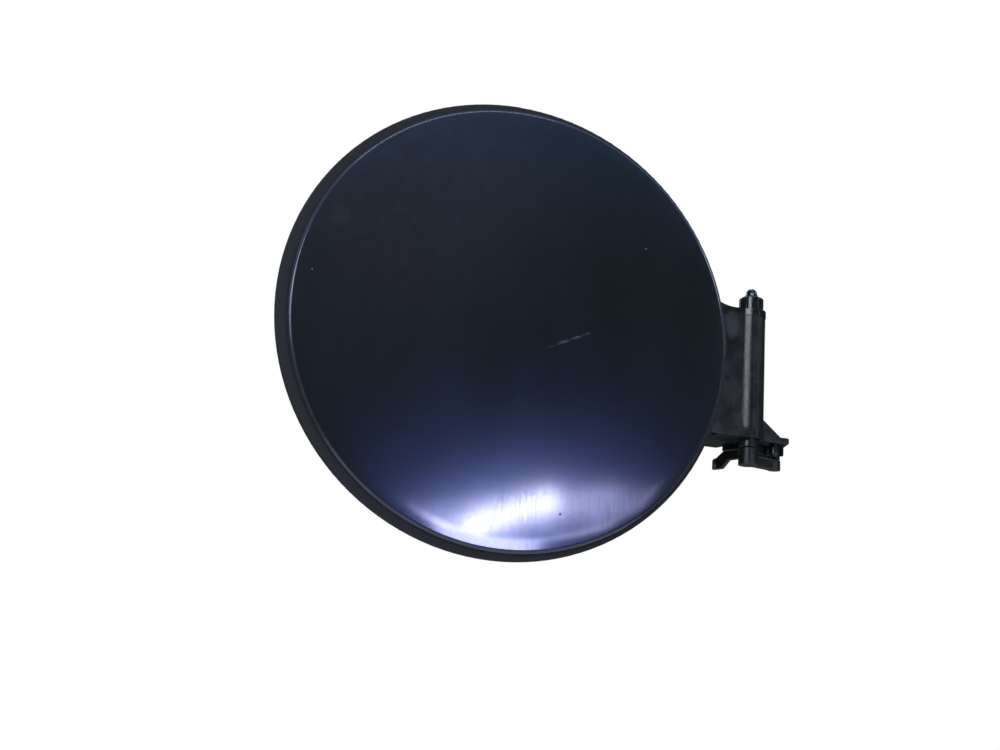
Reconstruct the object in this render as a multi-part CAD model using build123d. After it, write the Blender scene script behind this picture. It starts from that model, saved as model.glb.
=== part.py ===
from build123d import *
from math import asin, cos, degrees, radians, sin, sqrt, tan
import os

# Round car fuel door with its lower hinge anchor, in millimetres.
# X points to the hinge side, Y to the back of the door, Z up along the hinge axis.
# The origin is on the hinge axis, on the seat of the anchor, and the door is shut.

# Where the disc stands from the hinge axis
disc_beside = 93.85      # disc axis, beside the hinge axis
rim_ahead = 14.0         # plane of the face's edge, ahead of the hinge axis
disc_height = 35.8       # disc axis, above the anchor's seat

# Outer panel
face_radius = 77.6
face_crown = 3.0         # rise of the face from its edge to its middle
face_round = 1.4         # rounded edge of the face
panel_wall = 2.5
panel_step = 2.0         # edge of the face to the lip behind it

# Inner carrier: lip, back plate and ribs
lip_radius = 80.15
lip_shift = 1.4          # lip centre, moved from the disc axis to the free edge as a finger lip
lip_round = 0.7
plate_wall = 2.0
rib_height = 5.0
rib_wall = 1.6
rib_ring_radius = 66.0
rim_rib_radius = 74.5
rim_rib_height = 2.0
rib_hub_radius = 20.0
rib_count = 12
rib_round = 0.4          # rounded tops of the ribs and bosses

# Snap hooks that hold the panel to the carrier
hook_count = 6
hook_radius = 58.5
hook_wall = 1.8
hook_width = 8.0
hook_barb = 1.1
hook_nose = 2.4          # length of the hook past its barb's catch
hook_root = 0.6          # depth of the hook's root in the panel's wall
hook_clear = 0.2
catch_clear = 0.05

# Latch eye on the back plate, opposite the hinge
eye_radius = 57.0        # eye's middle, from the disc axis
eye_gap = 8.0            # clear width for the latch bolt
eye_depth = 7.0          # clear depth for the latch bolt
eye_stand = 5.0          # plate to the gap
eye_wall = 2.6
eye_thick = 5.0
eye_round = 1.2
eye_edge_round = 0.5

# Rubber buffers and the bosses that hold them
buffer_radius = 57.0     # buffer axis, from the disc axis
buffer_turn = 60.0       # degrees, from the free edge to each buffer
buffer_head_radius = 4.2
buffer_head_height = 4.0
buffer_stem_radius = 2.0
buffer_stem_length = 4.5
buffer_fit = 0.05
buffer_boss_radius = 5.0
buffer_boss_height = 4.0
buffer_dome = 1.6

# Hinge arm
arm_low = 9.3            # underside of the arm, above the anchor's seat
arm_tall = 48.2
arm_ahead = 8.5          # front skin under the lip, ahead of the hinge axis
web_ahead = 3.2          # web between the lip and the barrel, ahead of the hinge axis
web_bend = 20.5          # where the skin turns back to the web, beside the hinge axis
web_turn = 45.0          # degrees, of that turn
web_bend_round = 4.0
web_hollow_round = 4.0   # hollow corner between the web and the barrel
barrel_radius = 5.2      # half-open barrel round the hinge axis
arm_wall = 2.4
arm_wall_back = 3.5      # where the barrel's outer side stops, behind the hinge axis
arm_root = 36.0          # arm's root on the back plate, beside the hinge axis
arm_flare = 14.0         # hollow corner between the arm and the lip
arm_flare_spread = 12.0  # kept outline of those corners, above and below the arm
arm_end_round = 0.8      # rounded end of the barrel's side
arm_rib_count = 2
arm_rib_back = 1.0       # where the arm's inner ribs stop, behind the hinge axis

# Cheeks that close the arm's two ends
cheek_wall_high = 2.6
cheek_wall_low = 3.6
cheek_proud = 0.2        # cheek's edge, proud of the arm's skin
cheek_back = 19.5        # back edge, behind the hinge axis
cheek_back_inner = 3.5   # end of the back edge nearest to the hinge axis
cheek_back_outer = 10.0  # end of the back edge nearest to the disc
cheek_hollow = (0.6, 9.5)  # a point on the hollow edge behind the pivot
cheek_round = 3.0
cheek_edge_round = 0.18

# Upper pivot: split bullet peg
peg_radius = 4.45
peg_straight = 4.8       # straight part, from the arm up
peg_shoulder = 1.0       # rise of the sloping shoulder above the straight part
peg_nub_radius = 2.5     # at the top of the shoulder
peg_nose = 4.1           # nose, from the straight part up
peg_tip_radius = 2.1
peg_shoulder_round = 0.6
peg_slot = 0.7
peg_slot_depth = 8.7
peg_slot_turn = -43.0    # degrees, from the slot's plane to the part's side plane

# Lower pivot: boss and pin on the carrier, in the anchor's hub
hub_radius = 3.6
hub_height = 6.2
knuckle_gap = 0.1        # between the boss and the hub
knuckle_chamfer = 0.3
pin_radius = 2.2
hub_floor = 0.8          # closed end of the hub, on the anchor's seat
pin_short = 0.3          # pin's end, above the hub's floor
pin_chamfer = 0.5
bore_clear = 0.05

# Wing on the lower cheek, with its gusset and the stop peg under it
wing_wall = 2.2
wing_front = 1.5         # front edge, ahead of the hinge axis
wing_front_reach = 15.6  # front corner, beside the hinge axis
wing_reach = 17.9        # back corner, beside the hinge axis
wing_side_back = 8.4     # back corner, behind the hinge axis
wing_back = 12.0         # back edge, behind the hinge axis
wing_back_reach = 12.5
wing_round = 1.2
wing_edge_round = 0.5
skirt_wall = 2.0         # skirt under the wing's back edges
skirt_low = 6.6          # skirt's lower edge, above the anchor's seat
gusset_reach = 13.5
gusset_height = 5.7      # above the wing, at the barrel
gusset_wall = 2.0
stop_orbit = 12.6        # stop peg and crank end, from the hinge axis
stop_turn = 16.5         # degrees, from X to the stop peg with the door shut
stop_radius = 1.8
stop_clear = 0.35        # stop peg above the crank

# Anchor: crank and leg
crank_height = 3.8
crank_width = 3.2
crank_end_radius = 2.3
crank_dimple = 0.5
crank_neck_round = 1.2   # hollow corner between the crank's bar and its round end
crank_edge_round = 0.5
leg_turn = 113.0         # degrees, from X to the leg
leg_wall = 1.8
leg_underside = 2.8
leg_slope_start = 11.5
leg_slope_end = 15.0
leg_reach = 16.6
leg_foot_start = 12.2
leg_foot_top = 4.0
leg_arch_end = 9.0
leg_corner_round = 1.0
leg_edge_round = 0.3

# Values worked out from the sizes above
disc_plane = Plane(origin=(-disc_beside, -rim_ahead, disc_height), x_dir=(1, 0, 0), z_dir=(0, -1, 0))
plate_back = panel_step + plate_wall
arm_high = arm_low + arm_tall
arm_middle = arm_low + arm_tall / 2
boss_low = hub_height + knuckle_gap
crown_radius = (face_radius ** 2 + face_crown ** 2) / (2 * face_crown)


def face_height(radius):
    # Height of the face above its edge, at a distance from the disc axis
    return face_crown - crown_radius + sqrt(crown_radius ** 2 - radius ** 2)


def on_disc(shape):
    # From the disc's own frame, Z out of the face, to the part's frame
    return disc_plane.location * shape


def round_about(profile):
    return revolve(Plane.XZ * profile, Axis.Z)


def turned(shape, angle):
    return Rot(0, 0, angle) * shape


def around(shape, count, start):
    return [turned(shape, start + 360 / count * step) for step in range(count)]


def nearest(shape, x, y):
    return shape.vertices().sort_by_distance((x, y, 0))[0]


def post(radius, low, high):
    return Pos(0, 0, low) * extrude(Circle(radius), high - low)


def level_edges(shape, which):
    # Edges at the shape's lowest (0) or highest (-1) level
    return shape.edges().group_by(Axis.Z)[which]


def both_rims(shape, radius):
    # Rounds the rims of a flat plate's underside and top
    return fillet(level_edges(shape, 0) + level_edges(shape, -1), radius)


def hook_turns():
    return 180 / hook_count


def outer_panel():
    inner_crown = face_crown - panel_wall
    inner_radius = crown_radius - panel_wall
    seat_drop = inner_crown + panel_step
    seat_inner = sqrt(inner_radius ** 2 - (inner_radius - seat_drop) ** 2)
    half_inner = inner_crown - inner_radius + sqrt(inner_radius ** 2 - (seat_inner / 2) ** 2)
    outline = [
        ThreePointArc((0, face_crown), (face_radius / 2, face_height(face_radius / 2)), (face_radius, 0)),
        Line((face_radius, 0), (face_radius, -panel_step)),
        Line((face_radius, -panel_step), (seat_inner, -panel_step)),
        ThreePointArc((seat_inner, -panel_step), (seat_inner / 2, half_inner), (0, inner_crown)),
        Line((0, inner_crown), (0, face_crown)),
    ]
    profile = make_face(outline)
    profile = fillet(nearest(profile, face_radius, 0), face_round)
    skin = round_about(profile)

    root = face_height(hook_radius) - panel_wall + hook_root
    catch = -plate_back - catch_clear
    inner, outer = hook_radius - hook_wall / 2, hook_radius + hook_wall / 2
    hook_side = Polygon(
        (inner, root), (outer, root), (outer, catch), (outer + hook_barb, catch),
        (outer, catch - hook_nose), (inner, catch - hook_nose), align=None,
    )
    hook = extrude(Plane.XZ * hook_side, hook_width / 2, both=True)
    return on_disc(skin + around(hook, hook_count, hook_turns()))


def plate_and_ribs():
    plate = post(lip_radius, -plate_back, -panel_step)
    plate = fillet(plate.edges().filter_by(GeomType.CIRCLE), lip_round)
    plate = Pos(-lip_shift, 0, 0) * plate

    def ring(radius, height):
        wall = Circle(radius + rib_wall / 2) - Circle(radius - rib_wall / 2)
        rib = Pos(0, 0, -plate_back - height) * extrude(wall, height)
        return fillet(level_edges(rib, 0), rib_round)

    spoke_length = rib_ring_radius - rib_hub_radius
    spoke_middle = (rib_ring_radius + rib_hub_radius) / 2
    spoke = Pos(spoke_middle, 0, -plate_back - rib_height / 2) * Box(spoke_length, rib_wall, rib_height)
    spoke = fillet(level_edges(spoke, 0).filter_by(Axis.X), rib_round)
    ribs = [
        ring(rib_ring_radius, rib_height),
        ring(rib_hub_radius, rib_height),
        ring(rim_rib_radius, rim_rib_height),
    ]
    body = plate + ribs + around(spoke, rib_count, 180 / rib_count)

    # Each slot leaves its hook room to bend inwards as the barb goes through
    slot_inner = hook_radius - hook_wall / 2 - hook_barb - hook_clear
    slot_outer = hook_radius + hook_wall / 2 + hook_clear
    slot = Pos((slot_inner + slot_outer) / 2, 0, -panel_step - plate_wall / 2) * Box(
        slot_outer - slot_inner, hook_width + 2 * hook_clear, plate_wall
    )
    body -= around(slot, hook_count, hook_turns())

    boss = post(buffer_boss_radius, -plate_back - buffer_boss_height, -plate_back)
    boss = fillet(level_edges(boss, 0), rib_round)
    socket = post(buffer_stem_radius + buffer_fit, -plate_back - buffer_boss_height,
                  -plate_back - buffer_boss_height + buffer_stem_length + buffer_fit)
    for place in buffer_places():
        body = body + place * boss - place * socket
    return on_disc(body + latch_eye())


def buffer_places():
    return [Rot(0, 0, 180 + side * buffer_turn) * Pos(buffer_radius, 0, 0) for side in (-1, 1)]


def latch_eye():
    # A loop standing on the back plate, open along the line from the free edge to the hinge
    height = eye_stand + eye_depth + eye_wall
    loop = Pos(0, height / 2) * Rectangle(eye_gap + 2 * eye_wall, height)
    loop = fillet(loop.vertices().group_by(Axis.Y)[-1], eye_round)
    gap = Pos(0, eye_stand + eye_depth / 2) * Rectangle(eye_gap, eye_depth)
    gap = fillet(gap.vertices(), eye_round)
    eye_face = Plane(origin=(-eye_radius, 0, -plate_back), x_dir=(0, 1, 0), z_dir=(-1, 0, 0))
    eye = extrude(loop - gap, eye_thick / 2, both=True)
    return eye_face * fillet(level_edges(eye, 0) + level_edges(eye, -1), eye_edge_round)


def arm_lines(inset):
    # The skin's front and web planes, and where the slope between them starts and ends
    turn = radians(web_turn)
    front = inset - arm_ahead
    web = inset - web_ahead
    bend = -web_bend - inset * tan(turn / 2)
    return front, web, bend, bend + (web - front) / tan(turn)


def arm_block(inset, back):
    # The arm's section as a full block, set in from its skin, up to a plane behind the hinge axis
    front, web, bend, foot = arm_lines(inset)
    barrel = barrel_radius - inset
    block = Polygon(
        (-arm_root, front), (bend, front), (foot, web), (0, web), (0, back), (-arm_root, back), align=None,
    )
    side = Pos(barrel / 2, back / 2) * Rectangle(barrel, back)
    body = block + Circle(barrel) + side
    body = fillet(nearest(body, -sqrt(barrel ** 2 - web ** 2), web), web_hollow_round + inset)
    body = fillet(nearest(body, foot, web), web_bend_round + inset)
    return fillet(nearest(body, bend, front), web_bend_round - inset)


def arm_skin():
    # Front skin, web and barrel, cut to the arm's outline as seen from the front
    section = arm_block(0, arm_wall_back) - arm_block(arm_wall, arm_wall_back)
    for end in (barrel_radius, barrel_radius - arm_wall):
        section = fillet(nearest(section, end, arm_wall_back), arm_end_round)

    lip = Pos(-disc_beside - lip_shift, disc_height) * Circle(lip_radius)
    band = Pos(0, arm_middle) * Rectangle(2 * arm_root, arm_tall)
    outline = lip + band
    for level in (arm_low, arm_high):
        meet_lip = sqrt(lip_radius ** 2 - (level - disc_height) ** 2) - disc_beside - lip_shift
        outline = fillet(nearest(outline, meet_lip, level), arm_flare)
    spread = arm_tall + 2 * arm_flare_spread
    outline &= Pos(0, arm_middle) * Rectangle(2 * arm_root, spread)

    skin = Pos(0, 0, arm_middle - spread / 2) * extrude(section, spread)
    skin &= extrude(Plane.XZ * outline, arm_root, both=True)
    # A pad under the lip joins the front skin to the back plate
    under_lip = Pos(-(arm_root + web_bend) / 2, disc_height) * Rectangle(arm_root - web_bend, 2 * lip_radius)
    pad_outline = outline & under_lip & Pos(-disc_beside, disc_height) * Circle(face_radius)
    pad_back = arm_wall / 2 - arm_ahead
    pad_front = plate_wall / 2 - (rim_ahead - panel_step)
    pad = Pos(0, pad_back, 0) * extrude(Plane.XZ * pad_outline, pad_back - pad_front)
    return skin + pad


def cheek_outline():
    front = -arm_ahead - cheek_proud
    side = barrel_radius + cheek_proud
    behind = make_face([
        Line((-arm_root, front), (side, 0)),
        Line((side, 0), (side, arm_wall_back)),
        ThreePointArc((side, arm_wall_back), cheek_hollow, (-cheek_back_inner, cheek_back)),
        Line((-cheek_back_inner, cheek_back), (-cheek_back_outer, cheek_back)),
        Line((-cheek_back_outer, cheek_back), (-arm_root, front)),
    ])
    behind = fillet(nearest(behind, -cheek_back_outer, cheek_back), cheek_round)
    return arm_block(-cheek_proud, arm_rib_back) + behind


def arm_cheeks():
    upper = both_rims(extrude(cheek_outline(), cheek_wall_high), cheek_edge_round)
    # The lower cheek's front edge runs straight on from the slope to the collar round the barrel
    front, web, bend, foot = arm_lines(-cheek_proud)
    side = barrel_radius + cheek_proud
    edge_start = bend + (foot - bend) * (-side - front) / (web - front)
    edge = Polygon((edge_start, -side), (0, -side), (0, 0), (edge_start, 0), align=None)
    lower = both_rims(extrude(cheek_outline() + edge, cheek_wall_low), cheek_edge_round)
    return [Pos(0, 0, arm_high - cheek_wall_high) * upper, Pos(0, 0, arm_low) * lower]


def arm_ribs():
    rib = arm_block(arm_wall / 2, arm_rib_back)
    pitch = arm_tall / (arm_rib_count + 1)
    levels = [arm_low + pitch * (step + 1) for step in range(arm_rib_count)]
    return [Pos(0, 0, level - rib_wall / 2) * extrude(rib, rib_wall) for level in levels]


def bullet_peg():
    shoulder = arm_high + peg_straight
    tip = shoulder + peg_nose
    neck = tip - peg_tip_radius
    profile = make_face([
        Line((0, arm_high), (peg_radius, arm_high)),
        Line((peg_radius, arm_high), (peg_radius, shoulder)),
        Line((peg_radius, shoulder), (peg_nub_radius, shoulder + peg_shoulder)),
        Line((peg_nub_radius, shoulder + peg_shoulder), (peg_tip_radius, neck)),
        RadiusArc((peg_tip_radius, neck), (0, tip), -peg_tip_radius),
        Line((0, tip), (0, arm_high)),
    ])
    profile = fillet(nearest(profile, peg_radius, shoulder), peg_shoulder_round)
    slot_length = 3 * peg_radius
    slot = Pos(0, 0, tip - peg_slot_depth / 2) * Box(peg_slot, slot_length, peg_slot_depth)
    return round_about(profile) - turned(slot, peg_slot_turn)


def lower_pivot():
    boss = post(hub_radius, boss_low, arm_low)
    boss = chamfer(boss.edges().filter_by(GeomType.CIRCLE).sort_by(Axis.Z)[0], knuckle_chamfer)
    pin = post(pin_radius, hub_floor + pin_short, boss_low)
    pin = chamfer(pin.edges().filter_by(GeomType.CIRCLE).sort_by(Axis.Z)[0], pin_chamfer)
    return boss + pin


def stop_place():
    turn = radians(stop_turn)
    return stop_orbit * cos(turn), stop_orbit * sin(turn)


def wing():
    side = barrel_radius - arm_wall
    outline = Polygon(
        (side, -wing_front), (wing_front_reach, -wing_front), (wing_reach, wing_side_back),
        (wing_back_reach, wing_back), (side, arm_wall_back), align=None,
    )
    corners = [(wing_front_reach, -wing_front), (wing_reach, wing_side_back), (wing_back_reach, wing_back)]
    for corner in corners:
        outline = fillet(nearest(outline, *corner), wing_round)
    plate = both_rims(Pos(0, 0, arm_low) * extrude(outline, wing_wall), wing_edge_round)
    back_edges = outline - Pos(0, -skirt_wall) * outline
    back_edges &= Pos(wing_reach / 2, arm_wall_back + wing_back / 2) * Rectangle(wing_reach, wing_back)
    skirt = Pos(0, 0, skirt_low) * extrude(back_edges, arm_low + wing_wall / 2 - skirt_low)

    # The gusset's slope runs on into the barrel's wall
    gusset_low = arm_low + wing_wall / 2
    gusset_slope = (gusset_height + wing_wall / 2) / (gusset_reach - barrel_radius)
    gusset = Plane.XZ * Polygon(
        (side, gusset_low), (gusset_reach, gusset_low),
        (side, gusset_low + gusset_slope * (gusset_reach - side)), align=None,
    )
    gusset = Pos(0, gusset_wall - wing_front, 0) * extrude(gusset, gusset_wall)
    slope_edges = gusset.edges().filter_by(lambda edge: edge.length > gusset_reach - side)
    gusset = fillet(slope_edges, wing_edge_round)

    stop_low = crank_height + stop_clear
    stop = post(stop_radius, stop_low + stop_radius, arm_low)
    stop += Pos(0, 0, stop_low + stop_radius) * Sphere(stop_radius)
    return plate + skirt + gusset + Pos(*stop_place(), 0) * stop


def inner_carrier():
    arm = arm_skin() + arm_cheeks() + arm_ribs()
    return plate_and_ribs() + arm + bullet_peg() + lower_pivot() + wing()


def hinge_anchor():
    hub = post(hub_radius, 0, hub_height)
    hub = chamfer(hub.edges().filter_by(GeomType.CIRCLE).sort_by(Axis.Z)[-1], knuckle_chamfer)

    bar = Pos(stop_orbit / 2, 0) * Rectangle(stop_orbit, crank_width)
    crank = bar + Pos(stop_orbit, 0) * Circle(crank_end_radius)
    neck = stop_orbit - sqrt(crank_end_radius ** 2 - (crank_width / 2) ** 2)
    for side in (-1, 1):
        crank = fillet(nearest(crank, neck, side * crank_width / 2), crank_neck_round)
    crank = extrude(crank, crank_height)
    crank = fillet(level_edges(crank, -1), crank_edge_round)
    dimple_radius = stop_radius + stop_clear
    crank -= Pos(stop_orbit, 0, crank_height + dimple_radius - crank_dimple) * Sphere(dimple_radius)

    leg = Plane.XZ * Polygon(
        (hub_radius / 2, hub_height), (leg_slope_start, hub_height), (leg_slope_end, leg_foot_top),
        (leg_reach, leg_foot_top), (leg_reach, 0), (leg_foot_start, 0), (leg_arch_end, leg_underside),
        (hub_radius / 2, leg_underside), align=None,
    )
    leg = extrude(leg, leg_wall / 2, both=True)
    across = leg.edges().filter_by(Axis.Y)
    foot_corners = across.filter_by_position(Axis.X, leg_arch_end, leg_reach)
    leg = fillet(foot_corners.filter_by(lambda edge: edge.center().Z > 0), leg_corner_round)
    leg = fillet(leg.faces().filter_by(Axis.Y).edges(), leg_edge_round)
    body = hub + turned(crank, stop_turn) + turned(leg, leg_turn)
    return body - post(pin_radius + bore_clear, hub_floor, hub_height)


def bump_stops():
    seat = -plate_back - buffer_boss_height
    head = post(buffer_head_radius, seat - buffer_head_height, seat)
    head = fillet(head.edges().filter_by(GeomType.CIRCLE).sort_by(Axis.Z)[0], buffer_dome)
    buffer = head + post(buffer_stem_radius, seat, seat + buffer_stem_length)
    return on_disc(Compound([place * buffer for place in buffer_places()]))


pieces = {
    "outer_panel": outer_panel,
    "inner_carrier": inner_carrier,
    "hinge_anchor": hinge_anchor,
    "bump_stops": bump_stops,
}

os.makedirs("parts", exist_ok=True)
for node, make in pieces.items():
    shape = make()
    export_step(shape, f"parts/{node}.step")
    print(node, "solids", len(shape.solids()), "volume", round(shape.volume))

# The stop peg meets the leg's side at this opening
meet = degrees(asin((leg_wall / 2 + stop_radius) / stop_orbit))
print("stop peg meets the leg at", round(leg_turn - stop_turn - meet, 1), "degrees")
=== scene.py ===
from math import atan2, cos, pi, radians, sin, sqrt

import bpy
from mathutils import Matrix, Vector


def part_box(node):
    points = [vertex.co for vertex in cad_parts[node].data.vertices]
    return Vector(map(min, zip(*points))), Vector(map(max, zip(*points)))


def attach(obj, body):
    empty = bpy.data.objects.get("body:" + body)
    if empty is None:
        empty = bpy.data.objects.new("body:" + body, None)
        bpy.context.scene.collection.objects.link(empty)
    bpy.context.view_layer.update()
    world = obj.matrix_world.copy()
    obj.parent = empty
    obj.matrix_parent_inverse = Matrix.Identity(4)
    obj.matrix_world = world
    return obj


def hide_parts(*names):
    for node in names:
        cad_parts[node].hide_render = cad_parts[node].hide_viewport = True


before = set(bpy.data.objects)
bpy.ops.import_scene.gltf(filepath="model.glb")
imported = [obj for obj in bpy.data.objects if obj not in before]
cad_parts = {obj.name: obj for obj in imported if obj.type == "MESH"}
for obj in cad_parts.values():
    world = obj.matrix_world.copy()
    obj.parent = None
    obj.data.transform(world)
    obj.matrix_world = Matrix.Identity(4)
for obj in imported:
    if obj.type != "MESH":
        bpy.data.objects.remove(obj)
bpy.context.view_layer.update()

scene = bpy.context.scene
mm = 0.001
print("frame loaded:", sorted(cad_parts))


# Where the disc stands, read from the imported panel
panelLow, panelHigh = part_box("outer_panel")
discX = (panelLow.x + panelHigh.x) / 2
discZ = (panelLow.z + panelHigh.z) / 2
discRadius = (panelHigh.x - panelLow.x) / 2
crownY = panelLow.y  # front of the dome
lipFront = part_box("inner_carrier")[0].y  # front of the lip, where the panel sits


# Modelling helpers, all on Blender's own operators
def startPath(name, point):
    # one vertex at a point, left in edit mode
    bpy.ops.object.select_all(action="DESELECT")
    bpy.ops.mesh.primitive_plane_add(size=mm, location=point)
    piece = bpy.context.object
    piece.name = piece.data.name = name
    bpy.ops.object.mode_set(mode="EDIT")
    bpy.ops.mesh.merge(type="CENTER")
    return piece


def drawPath(name, points):
    piece = startPath(name, points[0])
    for near, far in zip(points, points[1:]):
        bpy.ops.mesh.extrude_vertices_move(TRANSFORM_OT_translate={"value": far - near})
    return piece


def placeMesh(piece):
    # origin back to the frame's own, with the place kept in the mesh
    bpy.ops.object.mode_set(mode="OBJECT")
    bpy.ops.object.select_all(action="DESELECT")
    piece.select_set(True)
    bpy.context.view_layer.objects.active = piece
    bpy.ops.object.transform_apply(location=True, rotation=True, scale=True)
    return piece


def spinPath(name, points, centre, steps):
    # closed turned shape about the door's depth
    piece = drawPath(name, points)
    bpy.ops.mesh.select_all(action="SELECT")
    bpy.ops.mesh.spin(steps=steps, angle=2 * pi, center=centre, axis=(0, 1, 0))
    bpy.ops.mesh.select_all(action="SELECT")
    bpy.ops.mesh.remove_doubles(threshold=mm / 500)
    bpy.ops.mesh.normals_make_consistent(inside=False)
    return placeMesh(piece)


def plateFrom(name, points, depth, edge):
    # flat outline pushed out to a solid, with its edges broken
    piece = drawPath(name, points)
    bpy.ops.mesh.select_all(action="SELECT")
    bpy.ops.mesh.edge_face_add()
    bpy.ops.mesh.extrude_region_move(TRANSFORM_OT_translate={"value": depth})
    bpy.ops.mesh.select_all(action="SELECT")
    bpy.ops.mesh.normals_make_consistent(inside=False)
    bpy.ops.mesh.bevel(offset=edge, segments=2, affect="EDGES", clamp_overlap=True)
    return placeMesh(piece)


def copyOf(piece):
    bpy.ops.object.select_all(action="DESELECT")
    piece.select_set(True)
    bpy.context.view_layer.objects.active = piece
    bpy.ops.object.duplicate()
    return bpy.context.object


def turnedCopies(piece, count):
    # the piece and its copies, evenly round the disc's axis
    made = [piece]
    for step in range(1, count):
        extra = copyOf(piece)
        bpy.ops.transform.rotate(
            value=2 * pi * step / count, orient_axis="Y", center_override=(discX, 0, discZ)
        )
        made.append(placeMesh(extra))
    return made


def joined(pieces):
    bpy.ops.object.select_all(action="DESELECT")
    for piece in pieces:
        piece.select_set(True)
    bpy.context.view_layer.objects.active = pieces[0]
    bpy.ops.object.join()
    return bpy.context.object


def softEdges(piece, angle):
    bpy.ops.object.select_all(action="DESELECT")
    piece.select_set(True)
    bpy.context.view_layer.objects.active = piece
    bpy.ops.object.shade_smooth_by_angle(angle=radians(angle))


def arcPoints(centre, radius, start, end, count):
    # points round a centre, between two angles in degrees off the front
    made = []
    for step in range(count + 1):
        turn = radians(start + (end - start) * step / count)
        made.append((centre[0] + radius * sin(turn), centre[1] - radius * cos(turn)))
    return made


def onSection(across, centreX=discX, centreZ=discZ):
    # (from the axis, depth) pairs to points above the axis
    return [Vector((centreX, depth, centreZ + away)) for away, depth in across]


# Gloss outer panel: one domed moulding with six snap hooks on its back
panelForm = {
    "rise": 3.0 * mm,        # dome, from its edge to its middle
    "edgeRound": 1.4 * mm,
    "footRound": 0.3 * mm,   # soft corner that leaves a fine line along the lip
    "wall": 2.5 * mm,
    "domeSteps": 16,
    "edgeSteps": 10,
    "footSteps": 4,
    "spinSteps": 288,
    "hookCount": 6,
    "hookAway": 58.5 * mm,
    "hookWall": 1.8 * mm,
    "hookWidth": 8.0 * mm,
    "hookBarb": 1.1 * mm,
    "hookNose": 2.4 * mm,
    "hookRoot": 0.6 * mm,
    "hookEdge": 0.15 * mm,
    "smoothBelow": 35,       # degrees
}


def facePanel():
    form = panelForm
    ball = (discRadius ** 2 + form["rise"] ** 2) / (2 * form["rise"])
    ballY = crownY + ball
    edge = form["edgeRound"]
    foot = form["footRound"]
    edgeAway = discRadius - edge
    edgeY = ballY - sqrt((ball - edge) ** 2 - edgeAway ** 2)
    tangent = atan2(edgeAway, ballY - edgeY) * 180 / pi
    innerBall = ball - form["wall"]
    seatAway = sqrt(innerBall ** 2 - (ballY - lipFront) ** 2)
    seatTurn = atan2(seatAway, ballY - lipFront) * 180 / pi
    section = arcPoints((0, ballY), ball, 0, tangent, form["domeSteps"])
    section += arcPoints((edgeAway, edgeY), edge, tangent, 90, form["edgeSteps"])[1:]
    section += arcPoints((discRadius - foot, lipFront - foot), foot, 90, 180, form["footSteps"])
    section += arcPoints((0, ballY), innerBall, seatTurn, 0, form["domeSteps"])
    skin = spinPath("facePanel", onSection(section), (discX, 0, discZ), form["spinSteps"])

    # one hook, drawn in the disc's section and pushed out sideways
    inner = form["hookAway"] - form["hookWall"] / 2
    outer = form["hookAway"] + form["hookWall"] / 2
    root = ballY - sqrt(innerBall ** 2 - form["hookAway"] ** 2) - form["hookRoot"]
    tip = panelHigh.y
    catch = tip - form["hookNose"]
    outline = [
        (inner, root), (outer, root), (outer, catch),
        (outer + form["hookBarb"], catch), (outer, tip), (inner, tip),
    ]
    half = Vector((form["hookWidth"] / 2, 0, 0))
    side = [point - half for point in onSection(outline)]
    hook = plateFrom("panelHook", side, 2 * half, form["hookEdge"])
    hooks = joined(turnedCopies(hook, form["hookCount"]))

    grow = skin.modifiers.new("hooks", "BOOLEAN")
    grow.operation = "UNION"
    grow.solver = "EXACT"
    grow.object = hooks
    placeMesh(skin)
    bpy.ops.object.modifier_apply(modifier=grow.name)
    bpy.data.objects.remove(hooks)
    softEdges(skin, form["smoothBelow"])
    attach(skin, "door")
    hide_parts("outer_panel")
    print("face panel:", len(skin.data.polygons), "faces")
    return skin


# Rubber buffers: turned mushrooms plugged into the carrier's bosses
bufferForm = {
    "head": 4.0 * mm,        # height above the boss
    "stem": 2.0 * mm,
    "stemCut": 0.3 * mm,
    "crownRound": 1.6 * mm,
    "crownSteps": 8,
    "footRound": 0.35 * mm,
    "footSteps": 4,
    "dimple": 1.1 * mm,
    "dimpleDeep": 0.5 * mm,
    "dimpleFlat": (0.5, 0.9),  # shares of its radius and depth
    "browRound": 0.2 * mm,   # edge of the dimple
    "browTurn": 250,
    "browSteps": 3,
    "spinSteps": 72,
    "smoothBelow": 40,
}


def bumpStops():
    form = bufferForm
    low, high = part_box("bump_stops")
    radius = (high.x - low.x) / 2
    axisX = (high.x + low.x) / 2
    lowerZ = low.z + radius
    upperZ = high.z - radius
    seat = high.y - form["head"]
    stem = form["stem"]
    cut = form["stemCut"]
    foot = form["footRound"]
    crown = form["crownRound"]
    brow = form["browRound"]
    dimple = form["dimple"]
    deep = form["dimpleDeep"]
    flat, sunk = form["dimpleFlat"]
    section = [(0, low.y), (stem - cut, low.y), (stem, low.y + cut), (stem, seat)]
    section += arcPoints((radius - foot, seat + foot), foot, 0, 90, form["footSteps"])
    section += arcPoints((radius - crown, high.y - crown), crown, 90, 180, form["crownSteps"])
    section += arcPoints((dimple, high.y - brow), brow, 180, form["browTurn"], form["browSteps"])
    section += [(dimple * flat, high.y - deep * sunk), (0, high.y - deep)]
    outline = onSection(section, axisX, lowerZ)
    lower = spinPath("bumpStops", outline, (axisX, 0, lowerZ), form["spinSteps"])
    upper = copyOf(lower)
    bpy.ops.transform.translate(value=(0, 0, upperZ - lowerZ))
    placeMesh(upper)
    pair = joined([lower, upper])
    pair.name = pair.data.name = "bumpStops"
    softEdges(pair, form["smoothBelow"])
    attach(pair, "door")
    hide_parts("bump_stops")
    print("bump stops:", len(pair.data.polygons), "faces")
    return pair


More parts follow.
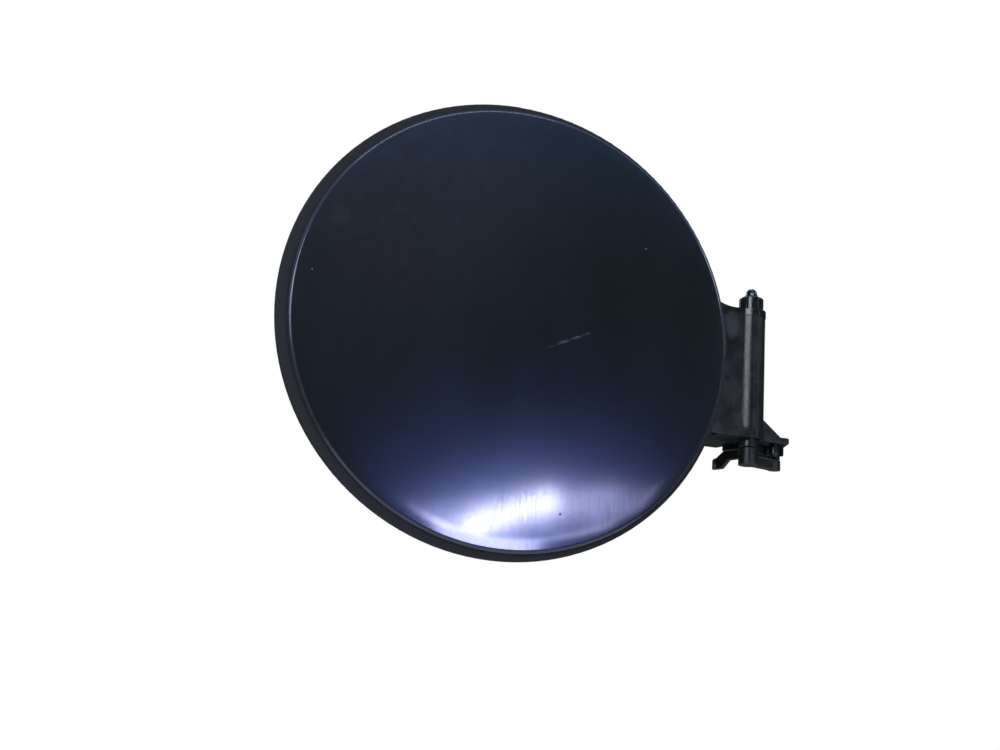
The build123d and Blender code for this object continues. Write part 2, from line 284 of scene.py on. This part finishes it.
# Moulding marks on the hidden back plate: ejector pin rings and the trimmed gate
markForm = {
    "count": 12,
    "away": 40.0 * mm,
    "radius": 2.6 * mm,
    "stand": 0.25 * mm,
    "rim": 0.35 * mm,
    "sunk": 0.15 * mm,
    "plate": 2.0 * mm,       # back plate's wall
    "gateRadius": 2.2 * mm,
    "gateStand": 0.9 * mm,
    "sides": 32,
    "smoothBelow": 40,
}


def roundMark(name, away, radius, stand, rim, sunk):
    plateBack = lipFront + markForm["plate"]
    bpy.ops.object.select_all(action="DESELECT")
    bpy.ops.mesh.primitive_circle_add(
        vertices=markForm["sides"], radius=radius, fill_type="NGON",
        location=(discX, plateBack, discZ + away), rotation=(-pi / 2, 0, 0),
    )
    mark = bpy.context.object
    mark.name = mark.data.name = name
    bpy.ops.object.mode_set(mode="EDIT")
    bpy.ops.mesh.select_all(action="SELECT")
    bpy.ops.mesh.extrude_region_move(TRANSFORM_OT_translate={"value": (0, stand, 0)})
    bpy.ops.mesh.inset(thickness=rim / 2, depth=0)
    bpy.ops.mesh.inset(thickness=rim / 2, depth=-sunk)
    bpy.ops.mesh.select_all(action="SELECT")
    bpy.ops.mesh.normals_make_consistent(inside=False)
    return placeMesh(mark)


def mouldMarks():
    form = markForm
    pin = roundMark("mouldMarks", form["away"], form["radius"], form["stand"], form["rim"], form["sunk"])
    gate = roundMark("gateMark", 0, form["gateRadius"], form["gateStand"], form["rim"], form["sunk"])
    marks = joined(turnedCopies(pin, form["count"]) + [gate])
    softEdges(marks, form["smoothBelow"])
    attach(marks, "door")
    print("mould marks:", len(marks.data.polygons), "faces")
    return marks


# Webs under the hinge: rib and deeper skirt on the carrier, wall and toe on the anchor
webForm = {
    "sunk": 0.2 * mm,            # each web's root, let into what carries it
    "edge": 0.25 * mm,
    "smoothBelow": 40,
    "cheekUnder": 9.3 * mm,
    "ribCentre": (28.19 * mm, 26.65 * mm),  # of the cheek's hollow back edge
    "ribRadius": 32.5 * mm,
    "ribTurns": (-55, -69),
    "ribSteps": 8,
    "ribWall": 1.6 * mm,
    "ribDeep": 2.1 * mm,
    "skirtUnder": 6.6 * mm,
    "skirtLow": 4.6 * mm,
    "skirtEnds": ((17.2 * mm, 8.8 * mm), (13.1 * mm, 11.5 * mm)),
    "skirtWall": 1.5 * mm,
    "crankTurn": 16.5,           # degrees from the door's width to the crank
    "crankTop": 3.8 * mm,
    "wallRoot": (3.0 * mm, 5.9 * mm),  # from the hinge axis, and height there
    "wallTip": (10.2 * mm, 5.0 * mm),
    "wallBehind": 0.1 * mm,
    "wallThick": 1.4 * mm,
    "legTurn": 113,
    "legHalf": 0.9 * mm,
    "toeRoot": 14.2 * mm,        # along the leg
    "toeCrest": (14.85 * mm, 1.15 * mm),
    "toeBack": 15.9 * mm,
    "toeTop": 3.7 * mm,
    "toeLow": 0.1 * mm,
}


def levelPlate(name, outline, top, low):
    # upright walls round a level outline
    points = [Vector((x, y, top)) for x, y in outline]
    return plateFrom(name, points, Vector((0, 0, low - top)), webForm["edge"])


def carrierWebs():
    form = webForm
    start, end = form["ribTurns"]
    centre, hollow, steps = form["ribCentre"], form["ribRadius"], form["ribSteps"]
    outline = arcPoints(centre, hollow, start, end, steps)
    outline += arcPoints(centre, hollow + form["ribWall"], end, start, steps)
    under = form["cheekUnder"]
    rib = levelPlate("carrierWebs", outline, under + form["sunk"], under - form["ribDeep"])

    near, far = (Vector(corner) for corner in form["skirtEnds"])
    inward = (far - near).orthogonal().normalized() * form["skirtWall"]
    if inward.dot(near) > 0:
        inward = -inward
    outline = [near, far, far + inward, near + inward]
    skirt = levelPlate("skirtWeb", outline, form["skirtUnder"] + form["sunk"], form["skirtLow"])
    webs = joined([rib, skirt])
    softEdges(webs, form["smoothBelow"])
    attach(webs, "door")
    print("carrier webs:", len(webs.data.polygons), "faces")
    return webs


def anchorWebs():
    form = webForm
    turn = radians(form["crankTurn"])
    along = Vector((cos(turn), sin(turn), 0))
    behind = Vector((-sin(turn), cos(turn), 0))
    up = Vector((0, 0, 1))
    root = form["crankTop"] - form["sunk"]
    (rootAway, rootHigh), (tipAway, tipHigh) = form["wallRoot"], form["wallTip"]
    side = [(rootAway, root), (tipAway, root), (tipAway, tipHigh), (rootAway, rootHigh)]
    points = [along * away + up * high + behind * form["wallBehind"] for away, high in side]
    wall = plateFrom("anchorWebs", points, behind * form["wallThick"], form["edge"])

    # toe on the near side of the leg's foot
    turn = radians(form["legTurn"])
    along = Vector((cos(turn), sin(turn)))
    beside = Vector((-sin(turn), cos(turn)))
    face = form["legHalf"]
    seat = face - form["sunk"]
    crestAway, crestOut = form["toeCrest"]
    side = [(form["toeRoot"], seat), (crestAway, face + crestOut), (form["toeBack"], seat)]
    outline = [along * away + beside * out for away, out in side]
    toe = levelPlate("toeWeb", outline, form["toeTop"], form["toeLow"])
    webs = joined([wall, toe])
    softEdges(webs, form["smoothBelow"])
    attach(webs, "hinge_base")
    print("anchor webs:", len(webs.data.polygons), "faces")
    return webs


# Shader values as Python expressions
class Tone:
    def __init__(self, finish, socket):
        self.finish = finish
        self.socket = socket

    def math(self, operation, *inputs, clamp=False):
        settings = {"operation": operation, "use_clamp": clamp}
        return self.finish.node("ShaderNodeMath", settings, dict(enumerate(inputs)))

    def __add__(self, other):
        return self.math("ADD", self, other)

    def __sub__(self, other):
        return self.math("SUBTRACT", self, other)

    def __rsub__(self, other):
        return self.math("SUBTRACT", other, self)

    def __mul__(self, other):
        return self.math("MULTIPLY", self, other)

    def __truediv__(self, other):
        return self.math("DIVIDE", self, other)

    def __pow__(self, other):
        return self.math("POWER", self, other)

    def __abs__(self):
        return self.math("ABSOLUTE", self)

    __radd__ = __add__
    __rmul__ = __mul__

    def clamp(self):
        return self.math("ADD", self, 0, clamp=True)

    def step(self, low, high):
        # smooth rise from 0 at low to 1 at high
        return self.finish.node(
            "ShaderNodeMapRange", {"interpolation_type": "SMOOTHSTEP"},
            {"Value": self, "From Min": low, "From Max": high, "To Min": 0.0, "To Max": 1.0},
        )


class Finish:
    # one material; what is the same all over goes straight on the shader's sockets
    def __init__(self, name, **same):
        self.material = bpy.data.materials.new(name)
        self.material.use_nodes = True
        self.tree = self.material.node_tree
        self.shader = self.tree.nodes["Principled BSDF"]
        for socket, value in same.items():
            self.shader.inputs[socket].default_value = value
        place = self.node("ShaderNodeTexCoord", output="Object")
        self.inMm = self.node("ShaderNodeVectorMath", {"operation": "SCALE"}, {0: place, "Scale": 1 / mm})
        self.x, self.y, self.z = (self.axis(self.inMm, name) for name in "XYZ")

    def axis(self, vector, name):
        return self.node("ShaderNodeSeparateXYZ", None, {0: vector}, name)

    def node(self, kind, settings=None, inputs=None, output=0):
        made = self.tree.nodes.new(kind)
        for name, value in (settings or {}).items():
            setattr(made, name, value)
        for key, value in (inputs or {}).items():
            self.feed(made.inputs[key], value)
        return Tone(self, made.outputs[output])

    def feed(self, socket, value):
        if isinstance(value, Tone):
            self.tree.links.new(value.socket, socket)
        else:
            socket.default_value = value

    def vary(self, **sockets):
        for name, value in sockets.items():
            self.feed(self.shader.inputs[name.replace("_", " ")], value)

    def noise(self, scale, detail, rough, stretch=(1, 1, 1), turn=0.0, rise=None):
        # grain with features per mm as its scale, stretched along an axis turned in the door's plane
        place = self.node(
            "ShaderNodeMapping", None,
            {"Vector": self.inMm, "Rotation": (0, radians(turn), 0), "Scale": stretch},
        )
        grain = self.node(
            "ShaderNodeTexNoise", None,
            {"Vector": place, "Scale": scale, "Detail": detail, "Roughness": rough}, "Fac",
        )
        return grain.step(*rise) if rise else grain

    def grains(self, look):
        return {name: self.noise(**grain) for name, grain in look["grains"].items()}

    def mix(self, factor, first, second):
        # a colour mix has its colours on sockets 6 and 7 and its result on 2
        return self.node("ShaderNodeMix", {"data_type": "RGBA"}, {0: factor, 6: first, 7: second}, 2)

    def bump(self, height, strength, distance):
        settings = {"Height": height, "Strength": strength, "Distance": distance * mm}
        self.vary(Normal=self.node("ShaderNodeBump", None, settings, "Normal"))

    def put(self, piece):
        piece.data.materials.clear()
        piece.data.materials.append(self.material)


# What the finishes below share
def weighed(marks, shares, base=0.0):
    # base plus each named mark times its share
    return sum((marks[name] * share for name, share in shares.items()), base)


def patchy(mark, least):
    # least where the mark is none, and 1 where it is full
    return least + mark * (1 - least)


def awayFrom(x, z, spot):
    # squared mm from a spot on the face
    return (x - spot[0]) ** 2 + (z - spot[1]) ** 2


# Gloss face: blue-black, finely wiped, with the scuff and specks it has
faceLook = {
    "same": {
        "IOR": 1.42, "Coat Roughness": 0.102, "Coat IOR": 1.5, "Specular Tint": (0.22, 0.34, 1.0, 1),
    },
    "grains": {
        "fine": {                         # wipe marks, narrow across and long up and down
            "scale": 1.0, "detail": 3.0, "rough": 0.6,
            "stretch": (2.6, 1, 0.11), "turn": 4, "rise": (0.35, 0.75),
        },
        "gather": {"scale": 0.04, "detail": 2.0, "rough": 0.5, "rise": (0.4, 0.65)},
        "broad": {                        # wider ones that slant
            "scale": 0.05, "detail": 2.0, "rough": 0.55,
            "stretch": (1, 1, 0.25), "turn": -28, "rise": (0.3, 0.75),
        },
        "cloud": {"scale": 0.018, "detail": 3.0, "rough": 0.6, "rise": (0.3, 0.7)},
        "mottle": {"scale": 0.25, "detail": 3.0, "rough": 0.6, "rise": (0.3, 0.7)},
        "dust": {"scale": 1.6, "detail": 2.0, "rough": 0.6, "rise": (0.35, 0.7)},
        "scratch": {
            "scale": 0.9, "detail": 2.0, "rough": 0.6,
            "stretch": (0.12, 1, 3.0), "turn": -25.8, "rise": (0.45, 0.62),
        },
    },
    "fineLeast": 0.4,                     # wipe marks between their patches
    "dark": (0.0058, 0.0072, 0.0066, 1),
    "haze": (0.0088, 0.0104, 0.0098, 1),
    "hazed": {"cloud": 0.6, "broad": 0.3},
    "scuff": (0.16, 0.155, 0.17, 1),
    "scuffAt": (16.6, -4.4),              # mm from the disc's middle
    "scuffSize": (11.0, 0.6),
    "scuffTurn": 25.8,
    "scuffFade": (0.1, 1.0),
    "scuffTail": (-1.3, 0.7),
    "scuffed": {"scuff": 0.45, "patch": 0.03},
    "patchAt": (-63.5, 28.4),             # hazy patch near the rim
    "patchFade": (2.0, 22.0),
    "speck": (0.12, 0.12, 0.13, 1),
    "specks": [(-70.9, 8.5, 0.35), (45.1, 33.7, 0.35)],  # beside, up and radius
    "pit": (18.6, -63.0, 0.6),
    "dotCore": 0.3,                       # share of a dot that is full
    "bloom": (0.0155, 0.0165, 0.019, 1),  # paler towards the upper left
    "upperLeftAt": (-46.0, 48.0),
    "upperLeftFade": (20.0, 85.0),
    "upperLeftLeast": 0.7,
    "worn": (0.034, 0.035, 0.046, 1),     # the rounded rim, rubbed dull, and painted paler as a highlight line
    "rimWearAndHighlightFrom": (1.3, 0.52),              # mm in from the edge
    "rimWearAndHighlightLeast": 0.6,
    "rough": 0.20,
    "roughened": {"fine": 0.03, "broad": 0.04, "scuff": 0.15, "worn": 0.15},
    "dulled": {                           # how much gloss each mark takes
        "fine": 0.30, "dust": 0.14, "broad": 0.08, "scuff": 0.3, "patch": 0.1, "pit": 0.7, "worn": 0.4,
    },
    "raised": {"fine": 0.6, "scratched": 1.0},
    "bump": (0.015, 0.05),
}


def glossFinish():
    look = faceLook
    finish = Finish("glossFace", **look["same"])
    marks = finish.grains(look)
    marks["fine"] = marks["fine"] * patchy(marks["gather"], look["fineLeast"])
    x = finish.x - discX / mm
    z = finish.z - discZ / mm

    # the light scuff right of the middle
    turn = radians(look["scuffTurn"])
    sx = x - look["scuffAt"][0]
    sz = z - look["scuffAt"][1]
    along = (sx * cos(turn) + sz * sin(turn)) / look["scuffSize"][0]
    across = (sz * cos(turn) - sx * sin(turn)) / look["scuffSize"][1]
    shape = 1 - (along ** 4 + across ** 2).step(*look["scuffFade"])
    marks["scratched"] = shape * marks["scratch"]
    marks["scuff"] = marks["scratched"] * along.step(*look["scuffTail"])

    # hazy patch, specks and a pit
    def dot(beside, up, size):
        return 1 - awayFrom(x, z, (beside, up)).step(size ** 2 * look["dotCore"], size ** 2)

    marks["patch"] = 1 - awayFrom(x, z, look["patchAt"]).step(*look["patchFade"])
    marks["pit"] = dot(*look["pit"])
    specks = sum((dot(*speck) for speck in look["specks"]), 0.0)

    # paler towards the upper left, and the rim rubbed dull with a painted highlight line on it
    bloom = 1 - (awayFrom(x, z, look["upperLeftAt"]) ** 0.5).step(*look["upperLeftFade"])
    bloom = bloom * patchy(marks["mottle"], look["upperLeftLeast"])
    start, end = (discRadius / mm - inward for inward in look["rimWearAndHighlightFrom"])
    marks["worn"] = ((x ** 2 + z ** 2) ** 0.5).step(start, end)
    marks["worn"] = marks["worn"] * patchy(marks["mottle"], look["rimWearAndHighlightLeast"])

    colour = finish.mix(weighed(marks, look["hazed"]), look["dark"], look["haze"])
    colour = finish.mix(bloom, colour, look["bloom"])
    colour = finish.mix(weighed(marks, look["scuffed"]).clamp(), colour, look["scuff"])
    colour = finish.mix(specks.clamp(), colour, look["speck"])
    # painted highlight: the rim's paler colour stands in for the light line along its edge
    colour = finish.mix(marks["worn"], colour, look["worn"])
    finish.vary(
        Base_Color=colour,
        Roughness=weighed(marks, look["roughened"], look["rough"]),
        Coat_Weight=(1.0 - weighed(marks, look["dulled"])).clamp(),
    )
    finish.bump(weighed(marks, look["raised"]), *look["bump"])
    return finish


# Satin carrier: fine grained moulding, a little mottled, with a painted highlight stripe and a painted
# sheen patch on its arm, and its back painted paler
carrierLook = {
    "same": {"IOR": 1.4},
    "grains": {
        "grain": {"scale": 6.0, "detail": 2.0, "rough": 0.5},
        "mottle": {"scale": 0.12, "detail": 4.0, "rough": 0.65},
        "cloud": {"scale": 0.03, "detail": 3.0, "rough": 0.6},
        "scratch": {"scale": 1.2, "detail": 3.0, "rough": 0.6, "stretch": (1, 1, 0.3), "rise": (0.3, 0.6)},
    },
    "blotchRise": (0.35, 0.75),           # where the mottle tints the moulding
    "dullRise": (0.35, 0.7),              # and where it dulls it
    "dark": (0.006, 0.007, 0.0085, 1),
    "violet": (0.009, 0.0105, 0.0175, 1),
    "green": (0.012, 0.0165, 0.018, 1),
    "tinted": {"blotch": 0.6, "cloud": 0.5},
    "armFrom": (-24.0, -12.0),            # mm beside the hinge axis
    "collarFrom": (54.7, 55.1),           # mm up
    "inside": (0.019, 0.0195, 0.021, 1),  # back of the plate, painted paler in place of light from behind
    "paintedBackLightFrom": (1.4, 2.0),             # mm behind the lip's front
    "paintedBackLightLeast": 0.75,
    # painted sheen: a mottled paler patch high on the arm, standing in for light on the satin
    "paintedSheen": (0.034, 0.044, 0.046, 1),
    "paintedSheenAt": (-9.0, 51.0),              # mm beside the hinge axis, and up
    "paintedSheenSize": (3.2, 7.0),
    "paintedSheenFade": (0.1, 1.0),
    "paintedSheenRise": (0.25, 0.6),
    "paintedSheenShow": 0.7,
    "rubbed": (0.075, 0.083, 0.087, 1),   # painted highlight stripe down the front of the barrel
    "highlightAt": (-3.85, 0.00066, 15.0),      # mm beside the axis, how fast it leans in, and from what height
    "highlightHalf": 1.0,
    "highlightFade": (0.6, 1.1),
    "highlightUp": (11.0, 14.0),
    "highlightBack": (-2.4, -1.6),
    "highlightLeast": 0.1,
    "highlightShown": {"scratch": 0.5, "collar": 0.4},
    "rough": 0.72,
    "roughened": {"arm": -0.48, "collar": -0.12, "dull": 0.10, "grain": -0.04},
    "raised": {"grain": 0.5, "mottle": 0.6},
    "bump": (0.25, 0.03),
}


def satinFinish():
    look = carrierLook
    finish = Finish("satinCarrier", **look["same"])
    marks = finish.grains(look)
    mottle = marks["mottle"]
    arm = finish.x.step(*look["armFrom"])
    marks["arm"] = arm
    marks["collar"] = finish.z.step(*look["collarFrom"]) * arm
    marks["blotch"] = mottle.step(*look["blotchRise"])
    marks["dull"] = mottle.step(*look["dullRise"])
    tint = finish.mix(arm, look["violet"], look["green"])
    colour = finish.mix(weighed(marks, look["tinted"]).clamp(), look["dark"], tint)
    # painted light: behind the lip's front, the plate's back is painted paler to stand in for light from
    # behind
    behind = (finish.y - lipFront / mm).step(*look["paintedBackLightFrom"]) * (1 - arm)
    colour = finish.mix(behind * patchy(mottle, look["paintedBackLightLeast"]), colour, look["inside"])

    # painted sheen: a mottled paler patch high on the arm
    beside = (finish.x - look["paintedSheenAt"][0]) / look["paintedSheenSize"][0]
    up = (finish.z - look["paintedSheenAt"][1]) / look["paintedSheenSize"][1]
    paintedSheen = 1 - (beside ** 2 + up ** 2).step(*look["paintedSheenFade"])
    paintedSheen = paintedSheen * mottle.step(*look["paintedSheenRise"])
    colour = finish.mix(paintedSheen * look["paintedSheenShow"], colour, look["paintedSheen"])

    # painted highlight: a paler stripe down the front of the barrel, stronger on its collar
    aside, lean, base = look["highlightAt"]
    middle = (finish.z - base) ** 2 * lean + aside
    rub = 1 - (abs(finish.x - middle) / look["highlightHalf"]).step(*look["highlightFade"])
    rub = rub * finish.z.step(*look["highlightUp"]) * (1 - finish.y.step(*look["highlightBack"]))
    rub = rub * weighed(marks, look["highlightShown"], look["highlightLeast"])
    colour = finish.mix(rub, colour, look["rubbed"])
    finish.vary(Base_Color=colour, Roughness=weighed(marks, look["roughened"], look["rough"]))
    finish.bump(weighed(marks, look["raised"]), *look["bump"])
    return finish


# Anchor plastic: harder and slightly glossier, scuffed by its seat
anchorLook = {
    "same": {"IOR": 1.38},
    "grains": {
        "grain": {"scale": 5.0, "detail": 2.0, "rough": 0.5},
        "rub": {"scale": 0.5, "detail": 3.0, "rough": 0.6},
    },
    "scuffRise": (0.45, 0.8),
    "footUp": (0.2, 1.6),    # mm
    "dark": (0.005, 0.005, 0.006, 1),
    "rubbed": (0.013, 0.013, 0.015, 1),
    "worn": {"scuff": 0.5, "foot": 0.4},
    "rough": 0.30,
    "roughened": {"rub": 0.10, "foot": 0.08},
    "bump": (0.15, 0.03),
}


def anchorFinish():
    look = anchorLook
    finish = Finish("anchorPlastic", **look["same"])
    marks = finish.grains(look)
    marks["scuff"] = marks["rub"].step(*look["scuffRise"])
    marks["foot"] = 1 - finish.z.step(*look["footUp"])
    finish.vary(
        Base_Color=finish.mix(weighed(marks, look["worn"]).clamp(), look["dark"], look["rubbed"]),
        Roughness=weighed(marks, look["roughened"], look["rough"]),
    )
    finish.bump(marks["grain"], *look["bump"])
    return finish


# Buffer rubber: dull black with a pale bloom
rubberLook = {
    "same": {"IOR": 1.5},
    "grains": {
        "grain": {"scale": 4.0, "detail": 3.0, "rough": 0.6},
        "bloom": {"scale": 0.4, "detail": 3.0, "rough": 0.6, "rise": (0.4, 0.8)},
    },
    "dark": (0.016, 0.016, 0.016, 1),
    "bloom": (0.05, 0.05, 0.048, 1),
    "bloomShow": 0.6,
    "rough": 0.75,
    "roughened": {"bloom": 0.12},
    "bump": (0.3, 0.05),
}


def rubberFinish():
    look = rubberLook
    finish = Finish("bufferRubber", **look["same"])
    marks = finish.grains(look)
    finish.vary(
        Base_Color=finish.mix(marks["bloom"] * look["bloomShow"], look["dark"], look["bloom"]),
        Roughness=weighed(marks, look["roughened"], look["rough"]),
    )
    finish.bump(marks["grain"], *look["bump"])
    return finish


# Pale floor under the door
floorForm = {
    "level": -0.170,
    "size": 0.6,
    "cuts": 4,
    "grains": {
        "tint": {"scale": 0.01, "detail": 2.0, "rough": 0.5},
        "dull": {"scale": 0.05, "detail": 2.0, "rough": 0.5},
    },
    "pale": (0.80, 0.80, 0.79, 1),
    "paler": (0.84, 0.84, 0.83, 1),
    "rough": 0.7,
    "roughened": {"dull": 0.1},
}


def paleFloor():
    form = floorForm
    bpy.ops.object.select_all(action="DESELECT")
    bpy.ops.mesh.primitive_plane_add(size=form["size"], location=(discX, 0, form["level"]))
    floor = bpy.context.object
    floor.name = floor.data.name = "paleFloor"
    bpy.ops.object.mode_set(mode="EDIT")
    bpy.ops.mesh.subdivide(number_cuts=form["cuts"])
    placeMesh(floor)
    finish = Finish("paleFloor")
    marks = finish.grains(form)
    finish.vary(
        Base_Color=finish.mix(marks["tint"], form["pale"], form["paler"]),
        Roughness=weighed(marks, form["roughened"], form["rough"]),
    )
    finish.put(floor)
    print("floor laid")


# Lamps: soft panes as seen in the face and the hinge
faceAim = (discX, -0.014, discZ)
hingeAim = (0, 0, 0.035)
lamps = [
    # name, place, aim, size across and up, roll in degrees, watts, colour
    ("hotLamp", (0.338, -1.45, 0.010), faceAim, (0.24, 0.050), 23, 1.75, (0.82, 0.82, 1.0)),
    ("tailLamp", (0.475, -1.45, 0.036), faceAim, (0.14, 0.055), 20, 0.17, (0.78, 0.78, 1.0)),
    ("paleLamp", (0.345, -1.46, 0.020), faceAim, (0.54, 0.060), 12.5, 0.86, (0.55, 0.57, 1.0)),
    ("sideLamp", (0.645, -1.45, 0.040), faceAim, (0.21, 0.12), 4, 0.58, (0.62, 0.63, 1.0)),
    ("edgeLamp", (0.55, -1.45, -0.055), faceAim, (0.20, 0.050), 8, 0.36, (0.70, 0.71, 1.0)),
    ("lowLamp", (0.20, -1.45, -0.060), faceAim, (0.15, 0.050), 0, 0.6, (0.75, 0.76, 1.0)),
    ("rimLamp", (0.28, -1.45, -0.137), faceAim, (0.28, 0.135), 0, 3.6, (0.64, 0.66, 1.0)),
    ("leftLamp", (-0.86, -0.78, 0.335), hingeAim, (0.95, 0.25), 24, 6.6, (0.90, 0.96, 1.0)),
    ("rightLamp", (0.80, -0.88, 0.30), hingeAim, (0.06, 0.8), 0, 0.4, (0.9, 0.9, 1.0)),
    ("ceilingLamp", (-0.17, -0.50, 1.0), faceAim, (0.9, 0.12), 0, 3.4, (0.85, 0.93, 1.0)),
    ("crankLamp", (0.95, -0.37, 0.64), hingeAim, (0.24, 0.24), 0, 1.9, (0.92, 0.95, 1.0)),
    ("backLamp", (-0.25, 1.1, 0.75), faceAim, (1.0, 0.6), 0, 5.0, (0.95, 0.97, 1.0)),
]


def hangLamps():
    for name, place, aim, size, roll, watts, colour in lamps:
        light = bpy.data.lights.new(name, "AREA")
        light.shape = "RECTANGLE"
        light.size, light.size_y = size
        light.energy = watts
        light.color = colour
        lamp = bpy.data.objects.new(name, light)
        lamp.location = place
        facing = (Vector(aim) - Vector(place)).to_track_quat("-Z", "Y").to_matrix().to_4x4()
        lamp.rotation_euler = (facing @ Matrix.Rotation(radians(roll), 4, "Z")).to_euler()
        lamp.visible_camera = False
        scene.collection.objects.link(lamp)
    print("lamps hung:", len(lamps))


# World: white beyond the door, a dim room in front of it
worldLook = {
    "white": (1, 1, 1, 1),
    "room": (0.028, 0.036, 0.036, 1),  # what gloss sees in front of the door
    "above": (0.17, 0.32, 0.52, 1),    # and higher up
    "aboveFrom": (0.34, 0.62),
    "behindFrom": (0.94, 1.0),         # white that gloss sees straight behind the door
    "behindUp": (0.0, 0.2),
    "fill": (0.50, 0.50, 0.51, 1),     # soft light from above
    "under": (0.08, 0.08, 0.08, 1),    # and from below
    "fillFrom": (-0.15, 0.15),
}


class WorldFinish(Finish):
    def __init__(self):
        world = bpy.data.worlds.new("studio")
        scene.world = world
        world.use_nodes = True
        self.tree = world.node_tree
        self.shader = self.tree.nodes["Background"]


def studioWorld():
    look = worldLook
    finish = WorldFinish()
    camera, through, gloss = (
        finish.node("ShaderNodeLightPath", output=f"Is {kind} Ray")
        for kind in ("Camera", "Transmission", "Glossy")
    )
    toward = finish.node("ShaderNodeTexCoord", output="Generated")
    depth = finish.axis(toward, "Y")
    height = finish.axis(toward, "Z")
    behind = depth.step(*look["behindFrom"]) * height.step(*look["behindUp"])
    seen = finish.mix(height.step(*look["aboveFrom"]), look["room"], look["above"])
    seen = finish.mix(behind, seen, look["white"])
    soft = finish.mix(height.step(*look["fillFrom"]), look["under"], look["fill"])
    colour = finish.mix(gloss, soft, seen)
    colour = finish.mix((camera + through).clamp(), colour, look["white"])
    finish.vary(Color=colour)
    print("world set")


# Camera where the photograph was taken
viewPoint = {
    "place": (-0.22295, -0.4509, -0.0965),
    "turn": (104.101, -3.57, -16.773),
    "lens": 50.4,
    "sensor": 36.0,
    "clip": 0.01,
}


def setCamera():
    view = bpy.data.cameras.new("photoView")
    view.lens = viewPoint["lens"]
    view.sensor_width = viewPoint["sensor"]
    view.clip_start = viewPoint["clip"]
    eye = bpy.data.objects.new("photoView", view)
    eye.location = viewPoint["place"]
    eye.rotation_euler = [radians(angle) for angle in viewPoint["turn"]]
    scene.collection.objects.link(eye)
    scene.camera = eye
    print("camera set")


setCamera()
scene.view_settings.view_transform = "Standard"
panel = facePanel()
stops = bumpStops()
marks = mouldMarks()
ribs = carrierWebs()
walls = anchorWebs()

glossFinish().put(panel)
rubberFinish().put(stops)
satin = satinFinish()
satin.put(marks)
satin.put(ribs)
satin.put(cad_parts["inner_carrier"])
hard = anchorFinish()
hard.put(walls)
hard.put(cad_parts["hinge_anchor"])
print("finishes on")

paleFloor()
hangLamps()
studioWorld()
